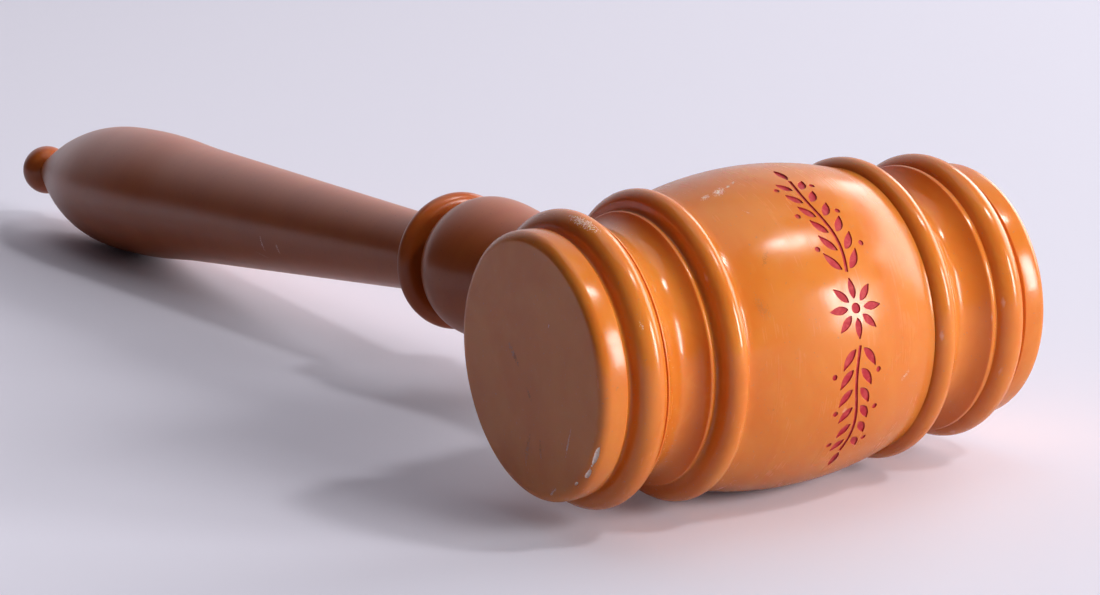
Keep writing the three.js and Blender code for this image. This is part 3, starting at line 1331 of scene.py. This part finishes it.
@dataclass
class Handle:
    """The handle: bulb, collar, grip and finial."""

    joint: CrossJoint
    facets: int = 128
    foot_radius: float = 7.8
    foot_height: float = 3.0
    foot_curve: float = 0.45
    neck: Spot = (36.0, 6.9)
    neck_curve: float = 0.49
    bulb: Spot = (75.3, 11.67)
    bulb_curve: float = 0.19
    bulb_rear: float = 10.4
    collar_at: float = 85.7
    collar_radius: float = 11.45
    collar_thickness: float = 3.4
    socket_depth: float = 14.0
    spigot_radius: float = 4.4
    grip_start_radius: float = 5.95
    taper_end: Spot = (183.5, 10.95)
    belly: Spot = (211.3, 12.4)
    belly_curves: Pair = (0.3, 0.47)
    tail: Spot = (257.4, 3.1)
    tail_curves: Pair = (0.27, 0.55)
    finial_radius: float = 5.05
    pin_radius: float = 1.2
    pin_half_length: float = 6.0
    corner: float = 0.12
    finish: CastResin = CastResin(
        body=(177, 88, 32), deep=(171, 82, 28), pale=(182, 94, 38), gloss=0.28, dull=0.0, lathe=0.08
    )

    def __post_init__(self) -> None:
        """Works out where the pieces meet."""
        self.collar_front = self.collar_at - self.collar_thickness / 2
        self.collar_rear = self.collar_at + self.collar_thickness / 2
        self.socket_end = self.collar_front - GAP - self.socket_depth

    def turn(
        self, outline: Outline, name: str, node: str, marks: Sequence[Mark] = (), closed: bool = False
    ) -> None:
        """Turns one piece of the handle and gives it its resin.

        Args:
            outline: Its outline.
            name: Name of the piece.
            node: The node that it replaces.
            marks: Its marks of wear.
            closed: Whether the outline is a ring.
        """
        made = Turning(HANDLE_PLACE, outline, self.facets, closed).make(name)
        dress(made, self.finish.material(f"{name}_resin", HANDLE_PLACE, marks))
        mount(made, HANDLE_BODY, node)

    def build_bulb(self) -> None:
        """Turns the bulb with its foot, the pocket of the bush and the socket of the grip."""
        foot, pocket = self.joint.foot_at, self.joint.bush_radius + HAIRLINE
        pocket_end = foot + GAP + self.joint.bush_length + GAP
        foot_top = foot + self.foot_height
        (neck_at, neck_radius), (bulb_at, bulb_radius) = self.neck, self.bulb
        outline = Outline(pocket_end, 0).to(pocket_end, pocket).to(foot, pocket).to(foot, self.foot_radius)
        outline.to(foot_top, self.foot_radius)
        flare = (neck_at - foot_top) * self.foot_curve
        outline.smooth([(foot_top + flare, self.foot_radius), (neck_at - flare, neck_radius)], self.neck, 14)
        first, last = ((bulb_at - neck_at) * share for share in (self.neck_curve, self.bulb_curve))
        outline.smooth([(neck_at + first, neck_radius), (bulb_at - last, bulb_radius)], self.bulb, 30)
        end = self.collar_front - HAIRLINE
        angle = math.degrees(math.asin((end - bulb_at) / self.bulb_rear))
        outline.round(bulb_at, 0, (bulb_radius, self.bulb_rear), (0, angle), 20)
        socket = self.spigot_radius + HAIRLINE
        outline.to(end, socket).to(self.socket_end, socket).to(self.socket_end, 0)
        self.turn(outline.softened(self.corner), "gavel_bulb", "bulb")

    def build_collar(self) -> None:
        """Turns the collar as a ring over the grip's spigot."""
        rim, bore = self.collar_thickness / 2, self.spigot_radius + HAIRLINE
        outline = Outline(self.collar_front, bore)
        outline.round(self.collar_at, self.collar_radius - rim, (rim, rim), (-90, 90), 26)
        outline.to(self.collar_rear, bore).to(self.collar_front, bore)
        self.turn(outline, "gavel_collar", "collar", closed=True)

    def build_grip(self) -> None:
        """Turns the grip with its spigot and the hole of the pin."""
        start, radius = self.collar_rear + HAIRLINE, self.grip_start_radius
        (taper_at, taper_radius), (belly_at, belly_radius) = self.taper_end, self.belly
        tail_at = self.tail[0]
        spigot_end = self.socket_end + GAP
        outline = Outline(spigot_end, 0).to(spigot_end, self.spigot_radius).to(start, self.spigot_radius)
        outline.to(start, radius).smooth([], self.taper_end, 40)
        first, last = (share * (belly_at - taper_at) for share in self.belly_curves)
        rise = first * (taper_radius - radius) / (taper_at - start)
        pulls = [(taper_at + first, taper_radius + rise), (belly_at - last, belly_radius)]
        outline.smooth(pulls, self.belly, 24)
        first, last = (share * (tail_at - belly_at) for share in self.tail_curves)
        outline.smooth([(belly_at + first, belly_radius), (tail_at - last, belly_radius)], self.tail, 40)
        hole, hole_end = self.pin_radius + GAP, tail_at - self.pin_half_length - GAP
        outline.to(tail_at, hole).to(hole_end, hole).to(hole_end, 0)
        marks = [
            Mark(Wear.SCRATCH, (142.4, 96.0, 8.8), (142.2, 112.0, 8.8), 0.6, 0.7),
            Mark(Wear.SCRATCH, (137.0, 102.0, 8.5), (136.8, 111.0, 8.5), 0.6, 0.6),
            Mark(Wear.SCRATCH, (146.0, 116.0, 9.0), (142.0, 124.0, 8.9), 0.22, 0.35),
            Mark(Wear.SCUFF, (205.0, -150.0, 12.3), (214.0, -156.0, 12.4), 2.0, 0.5),
            Mark(Wear.SCUFF, (211.0, 176.0, 12.4), (216.0, -176.0, 12.4), 3.0, 0.7),
        ]
        self.turn(outline.softened(self.corner), "gavel_grip", "grip", marks)

    def build_finial(self) -> None:
        """Turns the ball that is cut flat where it meets the grip."""
        tail_at, tail_radius = self.tail
        start = tail_at + HAIRLINE
        flat = -math.degrees(math.acos(tail_radius / self.finial_radius))
        centre = tail_at + GAP - self.finial_radius * math.sin(math.radians(flat))
        hole, hole_end = self.pin_radius + GAP, tail_at + GAP + self.pin_half_length + GAP
        outline = Outline(hole_end, 0).to(hole_end, hole).to(start, hole).to(start, tail_radius)
        outline.round(centre, 0, (self.finial_radius, self.finial_radius), (flat, 90), 40)
        outline.spots[-1] = (outline.spots[-1][0], 0.0)
        self.turn(outline, "gavel_finial", "finial")

    def dress_pin(self) -> None:
        """Gives the pin inside the finial its steel."""
        pin = frame["nodes"]["finial_pin"]
        dress(pin, STEEL.material("pin_steel", HANDLE_PLACE))
        shade(pin)
        LOG.info("finial_pin: kept from the frame, with new steel")

    def build(self) -> None:
        """Makes every piece of the handle."""
        self.build_bulb()
        self.build_collar()
        self.build_grip()
        self.build_finial()
        self.dress_pin()


class Use(Enum):
    """What a lamp is for."""

    BOTH = "light and highlights"
    LIGHT = "light and shadows"
    SHINE = "highlights"


@dataclass(frozen=True)
class Lamp:
    """A soft lamp.

    Args:
        name: Its name.
        towards: Direction from the head to the lamp.
        distance: Distance from the head in metres.
        sizes: Its width and height in metres.
        level: Share of full light that it gives to the table.
        use: What it is for.
        across: Direction of its width, or none for a level width.
        round: Whether it is round.
    """

    name: str
    towards: Triple
    distance: float
    sizes: Pair
    level: float
    use: Use = Use.BOTH
    across: Triple | None = None
    round: bool = False

    def build(self, target: Vector) -> None:
        """Hangs the lamp so that it points at a target.

        Args:
            target: The point that it lights.
        """
        way = Vector(self.towards).normalized()
        data = bpy.data.lights.new(self.name, "AREA")
        data.shape = "ELLIPSE" if self.round else "RECTANGLE"
        data.size, data.size_y = self.sizes
        data.energy = self.level * math.pi**2 * self.distance**2 / way.z
        lamp = bpy.data.objects.new(self.name, data)
        across = Vector(self.across) if self.across else Vector((0, 0, 1)).cross(way)
        across = (across - way * across.dot(way)).normalized()
        turn = Matrix((across, way.cross(across), way)).transposed()
        lamp.matrix_world = Matrix.Translation(target + way * self.distance) @ turn.to_4x4()
        lamp.visible_camera = False
        lamp.visible_glossy = self.use is not Use.LIGHT
        lamp.visible_diffuse = self.use is not Use.SHINE
        bpy.context.scene.collection.objects.link(lamp)
        LOG.info("%s: %.2f W for %s", self.name, data.energy, self.use.value)


@dataclass(frozen=True)
class Room:
    """The dim room round the table, with a pale wall behind and to the right.

    Args:
        pale: Light from the middle of the pale wall.
        dark: Light from the rest of the room.
        wall_side: Direction of the middle of the pale wall.
        wall_reach: Cosines of the angles from that direction between which the wall fades in.
        backdrop: Colour that the camera sees past the table.
    """

    pale: tuple[float, float, float, float] = (0.72, 0.69, 0.76, 1.0)
    dark: tuple[float, float, float, float] = (0.028, 0.027, 0.031, 1.0)
    wall_side: Triple = (0.449, 0.849, 0.28)
    wall_reach: Pair = (0.5, 0.97)
    backdrop: Colour = (226, 224, 236)

    def build(self) -> None:
        """Makes the world."""
        world = bpy.data.worlds.new("room")
        world.use_nodes = True
        world.node_tree.nodes.clear()
        nodes = Nodes(world.node_tree)
        way = nodes.node("ShaderNodeTexCoord").outputs["Generated"]
        side = nodes.vector("DOT_PRODUCT", way, self.wall_side).outputs["Value"]
        light = nodes.blend(nodes.span(side, *self.wall_reach), self.dark, self.pale)
        to_camera = nodes.node("ShaderNodeLightPath").outputs["Is Camera Ray"]
        ground = nodes.node("ShaderNodeBackground", nodes.blend(to_camera, light, linear(self.backdrop)))
        nodes.node("ShaderNodeOutputWorld", ground.outputs[0])
        bpy.context.scene.world = world
        LOG.info("room: pale wall behind and to the right")


@dataclass(frozen=True)
class Camera:
    """The camera at the photograph's angle, its place in millimetres and its angles in degrees."""

    place: Triple = (-255.79, -488.45, 129.15)
    yaw: float = 31.12
    pitch: float = -12.70
    roll: float = 2.206
    lens: float = 104.70
    sensor: float = 36.0

    def build(self) -> None:
        """Makes the camera."""
        yaw, pitch, roll = (math.radians(part) for part in (self.yaw, self.pitch, self.roll))
        forward = Vector((math.sin(yaw) * math.cos(pitch), math.cos(yaw) * math.cos(pitch), math.sin(pitch)))
        level_right = forward.cross(Vector((0, 0, 1))).normalized()
        right = Quaternion(forward, roll) @ level_right
        up = right.cross(forward)
        data = bpy.data.cameras.new("camera")
        data.lens, data.sensor_width = self.lens, self.sensor
        data.clip_start, data.clip_end = 0.01, 50.0
        camera = bpy.data.objects.new("camera", data)
        turn = Matrix((right, up, -forward)).transposed().to_4x4()
        camera.matrix_world = Matrix.Translation(Vector(self.place) * MM) @ turn
        bpy.context.scene.collection.objects.link(camera)
        bpy.context.scene.camera = camera


@dataclass(frozen=True)
class Table:
    """The plain pale table top, a wide disc just under the gavel.

    Args:
        colour: Its colour.
        radius: Its radius in metres.
        below: Distance under the gavel in metres.
        bounce_reach: Distances in metres over which the light that it throws onto the gavel fades out.
        near_bounce: Colour of the light that it throws back from nearby.
        far_bounce: Colour of what it throws back from further away.
        lamp_side: Direction of the low lamps along the table.
        lamp_reach: Distances in metres that way over which painted shade darkens the colour, evening out the
            pool of light where the lamps hang close.
        painted_shade_under_lamps: Colour of the painted shade under the low lamps.
    """

    colour: Colour = (231, 228, 241)
    radius: float = 4.0
    below: float = 0.0001
    bounce_reach: Pair = (0.3, 0.7)
    near_bounce: Colour = (198, 194, 204)
    far_bounce: Colour = (60, 58, 62)
    lamp_side: Triple = (0.84, -0.54, 0.0)
    lamp_reach: Pair = (0.2, 1.1)
    painted_shade_under_lamps: Colour = (151, 149, 157)

    def build(self) -> None:
        """Makes the table top."""
        sides = 96
        rim = [around(-self.below, 360 * side / sides, self.radius) for side in range(sides)]
        mesh = bpy.data.meshes.new("table_top")
        mesh.from_pydata(rim, [], [list(reversed(range(sides)))])
        table = bpy.data.objects.new("table_top", mesh)
        bpy.context.scene.collection.objects.link(table)
        recipe = Recipe("table_paint")
        where = recipe.node("ShaderNodeTexCoord").outputs["Object"]
        faint = recipe.noise(where, (60.0, 60.0, 60.0), 4.0, 0.6)
        away = recipe.vector("LENGTH", where).outputs["Value"]
        path = recipe.node("ShaderNodeLightPath")
        close = recipe.span(away, *self.bounce_reach, (1, 0))
        near = recipe.math("MAXIMUM", close, path.outputs["Is Glossy Ray"])
        bounce = recipe.blend(near, linear(self.far_bounce), linear(self.near_bounce))
        # Painted shade: the colour that the camera sees darkens towards the low lamps, evening out the pool
        # of light that they throw there
        lampward = recipe.vector("DOT_PRODUCT", where, self.lamp_side).outputs["Value"]
        lamp_pool_shade = recipe.span(lampward, *self.lamp_reach)
        seen = recipe.blend(lamp_pool_shade, linear(self.colour), linear(self.painted_shade_under_lamps))
        colour = recipe.blend(path.outputs["Is Camera Ray"], bounce, seen)
        rough = recipe.span(faint, 0.3, 0.7, (0.8, 0.9))
        recipe.set(Base_Color=colour, Roughness=rough, IOR=1.45, Specular_IOR_Level=0.1)
        mesh.materials.append(recipe.material)


@dataclass(frozen=True)
class Studio:
    """Table, lamps, room and camera."""

    table: Table = Table()
    room: Room = Room()
    camera: Camera = Camera()
    lamps: tuple[Lamp, ...] = (
        Lamp("key_lamp", (0.385, -0.51, 0.77), 3.0, (0.36, 0.36), 0.15, Use.LIGHT, round=True),
        Lamp("shine_lamp", (0.42, -0.325, 0.85), 3.0, (0.85, 0.34), 0.18, Use.SHINE, (1, 0, 0), round=True),
        Lamp("strip_lamp", (0.585, -0.765, 0.26), 2.0, (0.45, 0.85), 0.14),
        Lamp("fill_lamp", (0.3, -0.9, 0.3), 2.0, (0.6, 0.9), 0.19, Use.LIGHT),
        Lamp("side_lamp", (0.93, 0.1, 0.34), 2.0, (2.2, 1.2), 0.31),
        Lamp("top_lamp", (0.1, 0.1, 1.0), 2.2, (1.6, 1.6), 0.12),
    )

    def build(self) -> None:
        """Makes the studio."""
        self.table.build()
        self.room.build()
        for lamp in self.lamps:
            lamp.build(HEAD_PLACE.origin)
        self.camera.build()
        bpy.context.scene.view_settings.view_transform = "Standard"


def main() -> None:
    """Builds the gavel and its studio."""
    logging.basicConfig(level=logging.INFO, format="%(name)s %(message)s")
    joint = CrossJoint()
    joint.build()
    Head(joint).build()
    Handle(joint).build()
    Studio().build()


if __name__ == "__main__":
    main()
